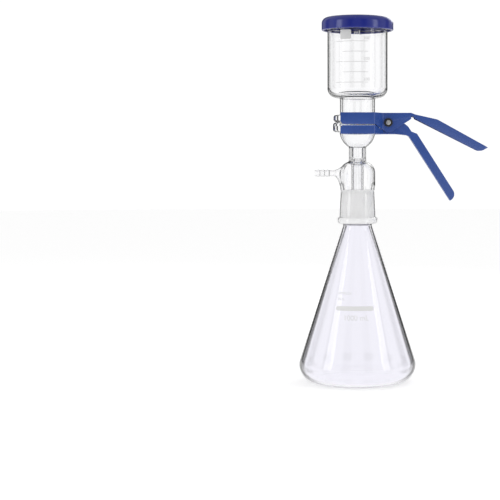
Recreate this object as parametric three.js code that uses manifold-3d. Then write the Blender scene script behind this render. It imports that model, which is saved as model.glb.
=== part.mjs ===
// Glass vacuum filtration set: conical flask, filter base with side arm and drip tube, graduated
// funnel, plastic lid, and the sheet-metal spring clamp that squeezes the two glass flanges.
// Millimetres, +Z up. The origin is the centre of the flask's foot and the glass turns about Z.
// The clamp's handles reach out along +X, the side arm points along -X, the clamp's pivot is
// parallel to Y.
import * as THREE from 'three';
import { mergeVertices } from 'three/addons/utils/BufferGeometryUtils.js';
import Module from 'manifold-3d';

const wasm = await Module();
wasm.setup();

// ---------- driving dimensions ----------

const ROUND = 28; // sides of a large round piece
const SMALL_ROUND = 16; // sides of a small round piece
const ARC_STEP = Math.PI / 5; // largest turn of one step of a rounded corner
const GAP = 0.3; // space kept between pieces that touch
const GLASS = 1.8; // wall of blown glass

const FLASK = {
  sideAngle: THREE.MathUtils.degToRad(18), // lean of the cone's side
  waistRadius: 17.4,
  waistZ: 190.5,
  heel: 21, // radius of the turn from foot to side
  floor: 2.6,
  shoulderZ: 196.5,
  innerDrop: 1, // how far the neck's inside runs on above and below the outside's corners
};

// Ground joint: a cone on the flask's neck inside a socket under the filter base.
const JOINT = {
  bottomRadius: 20,
  topZ: 234,
  taper: 0.05, // loss of radius per millimetre of height
  bore: 15.9,
  socketBottomZ: 193.2,
  socketTopZ: 231.4,
};

const BASE = {
  beadRadius: 24.4,
  beadTopZ: 200.2,
  beadTurn: 3, // radius of the bead's round edge
  beadSlope: 1, // rise of the bead's top towards the socket
  socketFootRadius: 21.9, // outside of the socket above its bead
  socketTopRadius: 20.4,
  bellRadius: 21.6,
  bellTopZ: 269,
  bellTurn: 14, // radius of the bell's shoulder
  bellWiden: 8, // height over which the bell widens above the socket
  bellInnerWiden: 10, // the same inside, above the flask's neck
  bellFall: 5.4, // fall of the bell's top from the stem to the side
  bellInnerFall: 6.7,
  stemRadius: 10.5,
  stemTurn: 1.5, // radius of the turn from the stem to the bulb
  stemBore: 7.2,
  sealZ: 272, // floor of the stem's wide bore, above the drip tube
  sealDish: 3, // height over which the wide bore narrows to the drip tube
  bulbRadius: 21.6,
  bulbZ: 304.8,
  bulbStop: -0.05, // angle just under the bulb's equator, where the flange begins
  flangeRadius: 29.8,
  flangeBottomZ: 305,
  faceZ: 316,
  seatRadius: 21.5,
  seatDepth: 4.3,
  // seams where the glass base is divided into its named parts
  socketSeamZ: 231.4,
  bulbSeamZ: 275,
  armSeamX: -25,
};

const DRIP = {
  radius: 7.4,
  bore: 6,
  topZ: 267.6,
  tipZ: 205,
  bevel: 0.5,
  lap: 5, // how far the bore above reaches down into the tube
};

const ARM = {
  z: 254.5,
  radius: 3.7,
  bore: 2.4,
  tipX: -52.3,
  barb: 4.3,
  barbPitch: 5.6,
  barbs: 3,
  flareX: -27.5, // where the tube starts to widen into the bell
  flareTurn: 9, // radius of that turn
  flareRadius: 13,
  flareEndX: -12,
};

const FRIT = { radius: 21.2, thickness: 4 };
const MEMBRANE = { radius: 23.5, bottomZ: 316.2, thickness: 0.2 };

const FUNNEL = {
  faceZ: 316.6,
  flangeRadius: 29.2,
  flangeTopZ: 325.6,
  flangeSlope: 0.8, // rise of the flange's top towards the neck
  neckRadius: 21.4,
  neckTopZ: 347,
  neckBore: 19.4,
  floorSlope: 1.4, // rise of the cup's underside from the neck
  floorRise: 1.2, // rise of the cup's floor from the neck
  cupRadius: 36.5,
  cupTurn: 11.5, // radius of the turn from the cup's floor to its side
  rimRadius: 39.4,
  rimTopZ: 436,
  rimHeight: 5,
  rimLead: 3, // height over which the cup widens to its rim
  lipStep: 0.4, // how much wider the mouth is than the cup
};

const LID = {
  radius: 43.5,
  bottomZ: 427.2,
  topZ: 443,
  edge: 7, // radius of the turn from side to top
  wall: 2.8,
  seatRadius: 33.4, // inside this the ceiling stands clear of the funnel's rim
  ceilingZ: 440.2,
};

const SHEET = 1.5; // thickness of the clamp's sheet metal
const CLAMP = {
  frontX: -20.4,
  forkHalf: 32.5,
  slotHalf: 22.6, // radius of the fork's slot, which passes the glass necks
  topZ: 327.5,
  bottomZ: 302,
  pivot: new THREE.Vector2(37.2, 315.8), // X and Z of the rivet's axis
  hole: 2.2,
  pastEnds: 20, // how far a cutting shape runs past the sheet
};
const CHAMFER = { x: 2.6, z: 3.6 }; // cut corner at each fork tip, beside the gap between the jaws
const SLANT = { x: 20.5, run: 10, fall: 18 }; // how the fork narrows to the ears, from above
const SLANT_INSET = SHEET * Math.tan(Math.atan2(SLANT.fall, SLANT.run) / 2);

const UPPER = {
  wallZ: 313.4, // lower edge of the fork's walls
  earHalf: 14.5,
  tipHalf: 11,
  slope: THREE.MathUtils.degToRad(28.8), // of the handle
  bendX: 96.5,
  bendZ: 319.6,
  tipX: 158.2,
  earX: 64.9, // far end of the ears
  earZ: 320.2,
  earBottom: new THREE.Vector2(37.4, 302.2), // where the ear's lower edges would meet
  earRadius: 9,
  lobeX: 21.4, // where the fork's lower edge turns down to the ear
  notchX: 69.2, // near end of the handle's walls
  notchZ: 323.6,
  notchStep: 1.2, // how the notch's top falls towards the handle
  kink: new THREE.Vector2(5, 2), // the web's first fall beyond the ears
  endX: 148.5, // lower corner of the handle's round end
  endZ: 280.6,
};
const LOWER = {
  wallZ: 312.5, // upper edge of the fork's walls
  earHalf: 12.7,
  tipHalf: 10,
  slope: THREE.MathUtils.degToRad(57.3), // of the handle
  sagX: 47, // where the web starts to bend down
  bendX: 61.5,
  bendZ: 300.4,
  tipZ: 221.3,
  wallDepth: 9.9, // of the handle's walls, square to its web
  lobeX: 21, // where the fork's upper edge turns down beside the upper ear
  earX: 32.2, // near edge of the ear, behind the upper ear
  earFootZ: 305.2,
  earTopX: 45, // where the ear's top edge starts to fall
  earTopZ: 322.6,
  earEnd: new THREE.Vector2(56.4, 314.8), // where the fall turns level
  earHeel: new THREE.Vector2(61, 311.4), // where it falls again to the notch
  notch: new THREE.Vector2(65.3, 305), // between the ear and the handle's walls
  lipStart: new THREE.Vector2(68.8, 303.6), // where the handle's walls begin
  lipEnd: 4, // distance along the handle where its walls reach full depth
  endReach: 0.5, // how far the round end of the walls runs past the web
  endRadius: 8.5,
  shoulderReach: 8, // past the bend, where the handle starts to narrow
  tipReach: 6, // past the web's end, where the walls end
};

const RIVET = { radius: 2, head: 3, headInner: 16.3, headOuter: 17.8, headEdge: 0.9 };
const WASHER = { radius: 5.2, hole: 2.2, inner: 14.8, thickness: 1.2, edge: 0.3 };
const SPRING = {
  radius: 5,
  wire: 0.8,
  turns: 7.5,
  halfLength: 9,
  stepsPerTurn: 10,
  upperLeg: { bendX: 46, rise: 1.8, endX: 60 }, // where each leg bends beside the coil and ends
  lowerLeg: { bendX: 45, rise: 2, endX: 55 },
  legGap: 1.5, // from the end of a leg's middle to the web that it presses
};

// ---------- materials ----------

function clearGlass(name) {
  return new THREE.MeshStandardMaterial({
    name,
    color: 0xeef1f5,
    roughness: 0.05,
    metalness: 0,
    transparent: true,
    opacity: 0.35,
    side: THREE.DoubleSide,
  });
}

function solidColour(name, color, roughness, metalness = 0) {
  return new THREE.MeshStandardMaterial({ name, color, roughness, metalness });
}

const flaskGlass = clearGlass('flask_glass');
const baseGlass = clearGlass('base_glass');
const funnelGlass = clearGlass('funnel_glass');
const sinteredGlass = solidColour('sintered_glass', 0xf4f4f1, 0.9);
const filterPaper = solidColour('filter_paper', 0xfbfbf8, 0.85);
const lidPlastic = solidColour('lid_plastic', 0x2a3383, 0.3);
const bluePaint = solidColour('blue_paint', 0x2f4c9a, 0.4, 0.1);
const steel = solidColour('steel', 0xa9a9ad, 0.35, 0.9);
const blackPlastic = solidColour('black_plastic', 0x15151a, 0.5);

// ---------- helpers ----------

// Corner points [x, y, radius] of an outline. A corner that gives a radius is rounded to an arc.
function rounded(corners) {
  const points = [];
  corners.forEach(([x, y, radius = 0], i) => {
    const here = new THREE.Vector2(x, y);
    if (radius === 0) {
      points.push(here);
      return;
    }
    const [before, after] = [corners.at(i - 1), corners[(i + 1) % corners.length]].map(
      ([nextX, nextY]) => new THREE.Vector2(nextX, nextY).sub(here).normalize(),
    );
    const half = Math.acos(THREE.MathUtils.clamp(before.dot(after), -1, 1)) / 2;
    const inward = before.clone().add(after).normalize();
    const centre = here.clone().addScaledVector(inward, radius / Math.sin(half));
    const start = here.clone().addScaledVector(before, radius / Math.tan(half)).sub(centre);
    const sweep = Math.sign(start.cross(here.clone().sub(centre))) * (Math.PI - 2 * half);
    const steps = Math.max(2, Math.ceil(Math.abs(sweep) / ARC_STEP));
    for (let k = 0; k <= steps; k += 1) {
      const turned = start.clone().rotateAround(new THREE.Vector2(), (sweep * k) / steps);
      points.push(turned.add(centre));
    }
  });
  return points;
}

// A piece turned about Z from an outline of [radius, z] points, given anticlockwise. The outline
// starts and ends on the axis, or else it is closed here into a ring.
function turned(outline, sides = ROUND) {
  const onAxis = outline[0].x === 0;
  const points = onAxis ? outline : [...outline, outline[0]];
  return new THREE.LatheGeometry(points, sides).rotateX(Math.PI / 2);
}

// A flat outline in X and Y, pushed up from one height to another.
function plate(outline, bottomZ, topZ) {
  const geometry = new THREE.ExtrudeGeometry(new THREE.Shape(outline), {
    depth: topZ - bottomZ,
    bevelEnabled: false,
  });
  return geometry.translate(0, 0, bottomZ);
}

// A flat outline in X and Z, pushed out to the same distance on both sides of Y = 0.
function slab(outline, halfWidth) {
  const geometry = new THREE.ExtrudeGeometry(new THREE.Shape(outline), {
    depth: 2 * halfWidth,
    bevelEnabled: false,
  });
  return geometry.rotateX(Math.PI / 2).translate(0, halfWidth, 0);
}

// A closed geometry as a solid that can be joined and cut.
function solid(geometry) {
  const bare = geometry.clone();
  bare.deleteAttribute('normal');
  bare.deleteAttribute('uv');
  const merged = mergeVertices(bare, 1e-4);
  const all = merged.index.array;
  const kept = [];
  for (let i = 0; i < all.length; i += 3) {
    const [a, b, c] = [all[i], all[i + 1], all[i + 2]];
    if (a !== b && b !== c && c !== a) kept.push(a, b, c);
  }
  return new wasm.Manifold(
    new wasm.Mesh({
      numProp: 3,
      vertProperties: merged.attributes.position.array,
      triVerts: new Uint32Array(kept),
    }),
  );
}

function geometryOf(manifold) {
  const { vertProperties, triVerts } = manifold.getMesh();
  const geometry = new THREE.BufferGeometry();
  geometry.setAttribute('position', new THREE.BufferAttribute(vertProperties, 3));
  geometry.setIndex(new THREE.BufferAttribute(triVerts, 1));
  geometry.computeVertexNormals();
  return geometry;
}

function piece(name, geometry, material) {
  const mesh = new THREE.Mesh(geometry, material);
  mesh.name = name;
  return mesh;
}

// Radius of the flask's ground cone at a height, and of the socket around it.
function coneRadius(z) {
  return JOINT.bottomRadius - JOINT.taper * (z - FLASK.shoulderZ);
}

function socketRadius(z) {
  return coneRadius(z) + GAP;
}

// ---------- glass ----------

function flask() {
  const slope = Math.tan(FLASK.sideAngle);
  const sideRadius = (z) => FLASK.waistRadius + (FLASK.waistZ - z) * slope;
  const wallAcross = GLASS / Math.cos(FLASK.sideAngle);
  const outline = rounded([
    [0, 0],
    [sideRadius(0), 0, FLASK.heel],
    [FLASK.waistRadius, FLASK.waistZ, 4],
    [JOINT.bottomRadius, FLASK.shoulderZ, 1.5],
    [coneRadius(JOINT.topZ), JOINT.topZ, 0.9],
    [JOINT.bore, JOINT.topZ, 0.9],
    [JOINT.bore, FLASK.shoulderZ + FLASK.innerDrop, 3],
    [FLASK.waistRadius - GLASS, FLASK.waistZ - FLASK.innerDrop, 4],
    [sideRadius(FLASK.floor) - wallAcross, FLASK.floor, FLASK.heel - GLASS],
    [0, FLASK.floor],
  ]);
  return piece('flask', turned(outline), flaskGlass);
}

// The side arm is turned about X: a tube with hose barbs that widens into the bell.
function armOutline() {
  const barbs = [];
  for (let k = 0; k < ARM.barbs; k += 1) {
    const crest = ARM.tipX + (k + 1) * ARM.barbPitch;
    barbs.push([ARM.barb, crest, 0.5], [ARM.radius, crest + 1]);
  }
  return rounded([
    [0, ARM.tipX],
    [ARM.radius - 0.3, ARM.tipX],
    ...barbs,
    [ARM.radius, ARM.flareX, ARM.flareTurn],
    [ARM.flareRadius, ARM.flareEndX],
    [0, ARM.flareEndX],
  ]);
}

function alongX(geometry) {
  return geometry.rotateY(Math.PI / 2).translate(0, 0, ARM.z);
}

// Height of the bulb's lower side where a sphere of radius `bulb` meets a tube of radius `tube`.
function bulbMeets(bulb, tube) {
  return BASE.bulbZ - Math.sqrt(bulb * bulb - tube * tube);
}

// Points up the bulb's side from the tube's radius, ending `stop` radians round from the equator.
function bulbArc(bulb, tube, stop, steps = 5) {
  const start = Math.atan2(bulbMeets(bulb, tube) - BASE.bulbZ, tube);
  return Array.from({ length: steps + 1 }, (_, k) => {
    const angle = THREE.MathUtils.lerp(start, stop, k / steps);
    return [bulb * Math.cos(angle), BASE.bulbZ + bulb * Math.sin(angle)];
  });
}

// The glass base: ground socket, bell with side arm, and stem with bulb and flange.
function filterBase() {
  const bulbFootZ = bulbMeets(BASE.bulbRadius, BASE.stemRadius);
  const outer = rounded([
    [0, JOINT.socketBottomZ],
    [BASE.beadRadius, JOINT.socketBottomZ, BASE.beadTurn],
    [BASE.beadRadius, BASE.beadTopZ, BASE.beadTurn],
    [BASE.socketFootRadius, BASE.beadTopZ + BASE.beadSlope, 0.8],
    [BASE.socketTopRadius, JOINT.socketTopZ, 3],
    [BASE.bellRadius, JOINT.socketTopZ + BASE.bellWiden, 6],
    [BASE.bellRadius, BASE.bellTopZ - BASE.bellFall, BASE.bellTurn],
    [BASE.stemRadius, BASE.bellTopZ, 2],
    [BASE.stemRadius, bulbFootZ, BASE.stemTurn],
    ...bulbArc(BASE.bulbRadius, BASE.stemRadius + BASE.stemTurn, BASE.bulbStop),
    [BASE.flangeRadius, BASE.flangeBottomZ, 2.4],
    [BASE.flangeRadius, BASE.faceZ, 2.8],
    [0, BASE.faceZ],
  ]);

  const bulbInner = BASE.bulbRadius - GLASS;
  const seatZ = BASE.faceZ - BASE.seatDepth;
  const hollowAbove = rounded([
    [0, DRIP.topZ - DRIP.lap],
    [DRIP.bore, DRIP.topZ - DRIP.lap],
    [DRIP.bore, BASE.sealZ - BASE.sealDish / 3, 2],
    [BASE.stemBore, BASE.sealZ + (2 * BASE.sealDish) / 3, 2],
    ...bulbArc(bulbInner, BASE.stemBore, 0),
    [bulbInner, seatZ],
    [BASE.seatRadius, seatZ],
    [BASE.seatRadius, BASE.faceZ + 1],
    [0, BASE.faceZ + 1],
  ]);

  const bellInner = BASE.bellRadius - GLASS;
  const hollowBelow = rounded([
    [0, JOINT.socketBottomZ - 1],
    [socketRadius(JOINT.socketBottomZ - 1), JOINT.socketBottomZ - 1],
    [socketRadius(JOINT.topZ + 1), JOINT.topZ + 1, 3],
    [bellInner, JOINT.topZ + BASE.bellInnerWiden, 6],
    [bellInner, BASE.bellTopZ - BASE.bellInnerFall, BASE.bellTurn - GLASS],
    [DRIP.radius, DRIP.topZ],
    [0, DRIP.topZ],
  ]);

  const arm = alongX(turned(armOutline(), SMALL_ROUND));
  const boreOutline = rounded([
    [0, ARM.tipX - 5],
    [ARM.bore, ARM.tipX - 5],
    [ARM.bore, ARM.flareX, ARM.flareTurn],
    [ARM.flareRadius - GLASS, ARM.flareEndX],
    [0, ARM.flareEndX],
  ]);
  const armBore = alongX(turned(boreOutline, SMALL_ROUND));
  const body = solid(turned(outer))
    .add(solid(arm))
    .subtract(solid(turned(hollowAbove)))
    .subtract(solid(turned(hollowBelow)))
    .subtract(solid(armBore));
  const [aboveSocket, socket] = body.splitByPlane([0, 0, 1], BASE.socketSeamZ);
  const [bulb, bellAndArm] = aboveSocket.splitByPlane([0, 0, 1], BASE.bulbSeamZ);
  const [sideArm, bell] = bellAndArm.splitByPlane([-1, 0, 0], -BASE.armSeamX);
  return [
    piece('ground_socket', geometryOf(socket), baseGlass),
    piece('bell', geometryOf(bell), baseGlass),
    piece('side_arm', geometryOf(sideArm), baseGlass),
    piece('receiver_bulb', geometryOf(bulb), baseGlass),
  ];
}

// The drip tube hangs from the seal at the top of the bell.
function dripTube() {
  const outline = rounded([
    [DRIP.bore, DRIP.tipZ],
    [DRIP.bore + DRIP.bevel, DRIP.tipZ],
    [DRIP.radius, DRIP.tipZ + 4 * DRIP.bevel],
    [DRIP.radius, DRIP.topZ],
    [DRIP.bore, DRIP.topZ],
  ]);
  return piece('drip_tube', turned(outline), baseGlass);
}

function fritDisc() {
  const bottom = BASE.faceZ - FRIT.thickness;
  const outline = rounded([
    [0, bottom],
    [FRIT.radius, bottom],
    [FRIT.radius, BASE.faceZ],
    [0, BASE.faceZ],
  ]);
  return piece('frit_disc', turned(outline), sinteredGlass);
}

function membraneFilter() {
  const top = MEMBRANE.bottomZ + MEMBRANE.thickness;
  const outline = rounded([
    [0, MEMBRANE.bottomZ],
    [MEMBRANE.radius, MEMBRANE.bottomZ],
    [MEMBRANE.radius, top],
    [0, top],
  ]);
  return piece('membrane_filter', turned(outline), filterPaper);
}

function funnel() {
  const inner = FUNNEL.cupRadius - GLASS;
  const rimBottomZ = FUNNEL.rimTopZ - FUNNEL.rimHeight;
  const outline = rounded([
    [FUNNEL.neckBore, FUNNEL.faceZ, 0.5],
    [FUNNEL.flangeRadius, FUNNEL.faceZ, 2.8],
    [FUNNEL.flangeRadius, FUNNEL.flangeTopZ - FUNNEL.flangeSlope, 2.4],
    [FUNNEL.neckRadius, FUNNEL.flangeTopZ, 1.4],
    [FUNNEL.neckRadius, FUNNEL.neckTopZ - FUNNEL.floorSlope, 2.2],
    [FUNNEL.cupRadius, FUNNEL.neckTopZ, FUNNEL.cupTurn],
    [FUNNEL.cupRadius, rimBottomZ - FUNNEL.rimLead, 4],
    [FUNNEL.rimRadius, rimBottomZ, 1.6],
    [FUNNEL.rimRadius, FUNNEL.rimTopZ, 1.8],
    [inner + FUNNEL.lipStep, FUNNEL.rimTopZ, 1.6],
    [inner, rimBottomZ - FUNNEL.rimLead, 6],
    [inner, FUNNEL.neckTopZ + GLASS + FUNNEL.floorRise, FUNNEL.cupTurn - GLASS],
    [FUNNEL.neckBore, FUNNEL.neckTopZ + GLASS, 2.4],
  ]);
  return piece('funnel', turned(outline), funnelGlass);
}

function lid() {
  const inner = LID.radius - LID.wall;
  const seatZ = FUNNEL.rimTopZ + GAP;
  const outline = rounded([
    [0, LID.ceilingZ],
    [LID.seatRadius, LID.ceilingZ, 0.8],
    [LID.seatRadius, seatZ, 0.4],
    [inner, seatZ, 0.8],
    [inner, LID.bottomZ, 0.8],
    [LID.radius, LID.bottomZ, 1.2],
    [LID.radius, LID.topZ, LID.edge],
    [0, LID.topZ],
  ]);
  return piece('lid', turned(outline), lidPlastic);
}

// ---------- spring clamp ----------

// A folded sheet: a web seen from the side as `side`, as wide as `plan` allows, with a wall turned
// down along each edge. `hollow` is the side view of the space between the walls.
function foldedSheet(side, hollow, plan) {
  const mirrored = (half) => rounded([...half, ...half.map(([x, y, r]) => [x, -y, r]).reverse()]);
  const inside = plan.map(([x, y, r], i) => {
    const beyond = { 0: -CLAMP.pastEnds, [plan.length - 1]: CLAMP.pastEnds }[i] ?? 0;
    return [x - SLANT_INSET + beyond, y - SHEET, r];
  });
  const [low, high] = [LOWER.tipZ - CLAMP.pastEnds, CLAMP.topZ + CLAMP.pastEnds];
  const wide = CLAMP.forkHalf + CLAMP.pastEnds;
  const envelope = solid(slab(side, wide)).intersect(solid(plate(mirrored(plan), low, high)));
  const space = solid(slab(hollow, wide)).intersect(solid(plate(mirrored(inside), low, high)));
  const slot = [];
  for (let k = 0; k <= 16; k += 1) {
    const angle = -Math.PI / 2 + (Math.PI * k) / 16;
    slot.push(new THREE.Vector2(Math.cos(angle), Math.sin(angle)).multiplyScalar(CLAMP.slotHalf));
  }
  const beforeFront = CLAMP.frontX - CLAMP.pastEnds;
  slot.push(
    new THREE.Vector2(beforeFront, CLAMP.slotHalf),
    new THREE.Vector2(beforeFront, -CLAMP.slotHalf),
  );
  const pivotHole = turned(
    rounded([[0, -wide], [CLAMP.hole, -wide], [CLAMP.hole, wide], [0, wide]]),
    SMALL_ROUND,
  );
  const body = envelope
    .subtract(space)
    .subtract(solid(plate(slot, low, high)))
    .subtract(solid(onPivot(pivotHole)));
  return geometryOf(body);
}

function upperJaw() {
  const { slope, bendX, bendZ, tipX, earX, notchX } = UPPER;
  const tipZ = bendZ - (tipX - bendX) * Math.tan(slope);
  const top = [
    [earX, CLAMP.topZ, 1.5],
    [earX + UPPER.kink.x, CLAMP.topZ - UPPER.kink.y, 1.5],
    [bendX, bendZ, 14],
    [tipX, tipZ],
  ];
  const side = rounded([
    [CLAMP.frontX, CLAMP.topZ],
    ...top,
    [UPPER.endX, UPPER.endZ, 9],
    [notchX, UPPER.earZ + 0.4],
    [notchX - 0.4, UPPER.notchZ - UPPER.notchStep],
    [earX, UPPER.notchZ],
    [earX, UPPER.earZ, 0.8],
    [UPPER.earBottom.x, UPPER.earBottom.y, UPPER.earRadius],
    [UPPER.lobeX, UPPER.wallZ],
    [CLAMP.frontX + CHAMFER.x, UPPER.wallZ],
    [CLAMP.frontX, UPPER.wallZ + CHAMFER.z],
  ]);
  const mitre = SHEET * Math.tan(slope / 2);
  const far = tipX + CLAMP.pastEnds;
  const hollow = rounded([
    [CLAMP.frontX - CLAMP.pastEnds, CLAMP.topZ - SHEET],
    ...top.map(([x, z, r]) => [x - mitre, z - SHEET, r]),
    [far, tipZ - SHEET - CLAMP.pastEnds * Math.tan(slope)],
    [far, LOWER.tipZ],
    [CLAMP.frontX - CLAMP.pastEnds, LOWER.tipZ],
  ]);
  const plan = [
    [CLAMP.frontX, CLAMP.forkHalf],
    [SLANT.x, CLAMP.forkHalf, 3],
    [SLANT.x + SLANT.run, UPPER.earHalf, 3],
    [earX + 4, UPPER.earHalf, 8],
    [tipX, UPPER.tipHalf, 5],
  ];
  return piece('upper_jaw', foldedSheet(side, hollow, plan), bluePaint);
}

function lowerJaw() {
  const { slope, bendX, bendZ, tipZ, wallDepth, earHalf } = LOWER;
  const mitre = SHEET * Math.tan(slope / 2);
  const length = (bendZ - tipZ) / Math.sin(slope);
  // a point of the handle's side view: along its web from the bend, and up square to the web
  const handle = (along, up) => [
    bendX + along * Math.cos(slope) + up * Math.sin(slope),
    bendZ - along * Math.sin(slope) + up * Math.cos(slope),
  ];
  const bottom = [[LOWER.sagX, CLAMP.bottomZ, 20], [bendX, bendZ, 6], handle(length, 0)];
  const side = rounded([
    [CLAMP.frontX, CLAMP.bottomZ],
    ...bottom,
    [...handle(length + LOWER.endReach, wallDepth), LOWER.endRadius],
    handle(LOWER.lipEnd, wallDepth),
    [LOWER.lipStart.x, LOWER.lipStart.y, 0.5],
    [LOWER.notch.x, LOWER.notch.y, 1],
    [LOWER.earHeel.x, LOWER.earHeel.y, 7],
    [LOWER.earEnd.x, LOWER.earEnd.y],
    [LOWER.earTopX, LOWER.earTopZ, 5],
    [LOWER.earX, LOWER.earTopZ, 4],
    [LOWER.earX, LOWER.earFootZ],
    [LOWER.lobeX, LOWER.wallZ],
    [CLAMP.frontX + CHAMFER.x, LOWER.wallZ],
    [CLAMP.frontX, LOWER.wallZ - CHAMFER.z],
  ]);
  const [tipX] = handle(length, 0);
  const far = tipX + CLAMP.pastEnds;
  const before = CLAMP.frontX - CLAMP.pastEnds;
  const hollow = rounded([
    [before, CLAMP.bottomZ + SHEET],
    ...bottom.map(([x, z, r]) => [x + mitre, z + SHEET, r]),
    [far + mitre, tipZ + SHEET - CLAMP.pastEnds * Math.tan(slope)],
    [far + wallDepth, tipZ],
    [far + wallDepth, CLAMP.topZ + CLAMP.pastEnds],
    [before, CLAMP.topZ + CLAMP.pastEnds],
  ]);
  const plan = [
    [CLAMP.frontX, CLAMP.forkHalf],
    [SLANT.x, CLAMP.forkHalf, 3],
    [SLANT.x + (SLANT.run * (CLAMP.forkHalf - earHalf)) / SLANT.fall, earHalf, 1],
    [bendX + LOWER.shoulderReach, earHalf, 8],
    [tipX + LOWER.tipReach, LOWER.tipHalf],
  ];
  return piece('lower_jaw', foldedSheet(side, hollow, plan), bluePaint);
}

// Turns a piece that was made about Z so that its axis is the clamp's pivot.
function onPivot(geometry) {
  return geometry.rotateX(Math.PI / 2).translate(CLAMP.pivot.x, 0, CLAMP.pivot.y);
}

function pivotPin() {
  const outline = rounded([
    [0, -RIVET.headOuter],
    [RIVET.head, -RIVET.headOuter, RIVET.headEdge],
    [RIVET.head, -RIVET.headInner],
    [RIVET.radius, -RIVET.headInner],
    [RIVET.radius, RIVET.headInner],
    [RIVET.head, RIVET.headInner],
    [RIVET.head, RIVET.headOuter, RIVET.headEdge],
    [0, RIVET.headOuter],
  ]);
  return piece('pivot_pin', onPivot(turned(outline, SMALL_ROUND)), steel);
}

function washer(name, side) {
  const [near, far] = [WASHER.inner, WASHER.inner + WASHER.thickness].map((y) => y * side);
  const [low, high] = near < far ? [near, far] : [far, near];
  const outline = rounded([
    [WASHER.hole, low],
    [WASHER.radius, low, WASHER.edge],
    [WASHER.radius, high, WASHER.edge],
    [WASHER.hole, high],
  ]);
  return piece(name, onPivot(turned(outline, SMALL_ROUND)), blackPlastic);
}

function torsionSpring() {
  const { x, y: z } = CLAMP.pivot;
  const { radius, halfLength, upperLeg, lowerLeg, legGap } = SPRING;
  const count = SPRING.turns * SPRING.stepsPerTurn;
  const coil = [];
  for (let k = 0; k <= count; k += 1) {
    const angle = Math.PI / 2 + (2 * Math.PI * k) / SPRING.stepsPerTurn;
    const across = THREE.MathUtils.lerp(-halfLength, halfLength, k / count);
    coil.push(
      new THREE.Vector3(x + radius * Math.cos(angle), across, z + radius * Math.sin(angle)),
    );
  }
  const path = new THREE.CatmullRomCurve3(
    [
      new THREE.Vector3(upperLeg.endX, -halfLength, CLAMP.topZ - SHEET - legGap),
      new THREE.Vector3(upperLeg.bendX, -halfLength, z + radius + upperLeg.rise),
      ...coil,
      new THREE.Vector3(lowerLeg.bendX, halfLength, z - radius - lowerLeg.rise),
      new THREE.Vector3(lowerLeg.endX, halfLength, CLAMP.bottomZ + SHEET + legGap),
    ],
    false,
    'centripetal',
  );
  const section = new THREE.Shape();
  section.absarc(0, 0, SPRING.wire, 0, 2 * Math.PI);
  const geometry = new THREE.ExtrudeGeometry(section, {
    curveSegments: 3,
    steps: count + 20,
    extrudePath: path,
    bevelEnabled: false,
  });
  return piece('torsion_spring', geometry, steel);
}

// ---------- the assembly ----------

const filterHead = new THREE.Group();
filterHead.add(...filterBase(), dripTube(), fritDisc(), membraneFilter(), funnel());

const clamp = new THREE.Group();
clamp.add(
  upperJaw(),
  lowerJaw(),
  pivotPin(),
  washer('washer_front', -1),
  washer('washer_back', 1),
  torsionSpring(),
);

const filtrationSet = new THREE.Group();
filtrationSet.add(flask(), filterHead, lid(), clamp);

export default filtrationSet;
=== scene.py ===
"""Looks for a glass vacuum filtration set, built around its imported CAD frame.

Outlines are in millimetres, as in the CAD, and turn into metres when a mesh is made. The glass
turns about Z, the clamp's handles reach out along +X and the side arm points along -X.
"""

import math

import bmesh
import bpy
from mathutils import Matrix, Vector


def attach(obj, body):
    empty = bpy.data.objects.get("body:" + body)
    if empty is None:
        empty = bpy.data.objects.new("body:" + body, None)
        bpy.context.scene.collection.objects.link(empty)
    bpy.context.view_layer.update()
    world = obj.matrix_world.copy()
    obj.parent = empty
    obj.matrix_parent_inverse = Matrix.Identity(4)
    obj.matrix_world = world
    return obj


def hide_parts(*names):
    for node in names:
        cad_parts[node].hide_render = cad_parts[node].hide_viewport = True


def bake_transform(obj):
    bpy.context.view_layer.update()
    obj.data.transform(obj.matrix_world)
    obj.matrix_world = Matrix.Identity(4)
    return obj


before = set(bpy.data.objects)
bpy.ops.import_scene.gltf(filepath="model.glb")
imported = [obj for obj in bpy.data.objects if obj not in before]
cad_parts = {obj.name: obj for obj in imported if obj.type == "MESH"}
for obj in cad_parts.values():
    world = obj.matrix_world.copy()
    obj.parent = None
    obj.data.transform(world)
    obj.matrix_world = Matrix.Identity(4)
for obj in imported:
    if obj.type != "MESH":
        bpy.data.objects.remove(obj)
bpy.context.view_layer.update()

MM = 0.001
ROUND_SIDES = 144  # sides of a large turned piece
DISC_SIDES = 96  # sides of a turned disc
SMALL_SIDES = 48  # sides of a small turned piece
ARC_STEP = math.radians(6)  # largest turn of one step of a rounded corner
LONG_RUN = 5  # longest straight step of a turned outline
SINK = 0.02  # how far a joined surface starts below the one that it joins


# ---------- driving dimensions ----------

GLASS = 1.8  # wall of blown glass
JOINT_GAP = 0.12  # between the ground cone and its socket
JOINT_LEAD = 1.0  # how far the socket's cone runs on past the neck

NECK_TOP = 234.0
SIDE_ANGLE = math.radians(18)
WAIST = Vector((17.4, 190.5))  # radius and height where the cone's side ends
SHOULDER_Z = 196.5
INNER_DROP = 1.0  # how far the neck's inside runs on past the outside's corners
HEEL = 21.0
FLASK_WALL, FLASK_FLOOR = 2.2, 2.6
CONE_RADIUS, CONE_TAPER, NECK_BORE = 20.0, 0.05, 15.9

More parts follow.
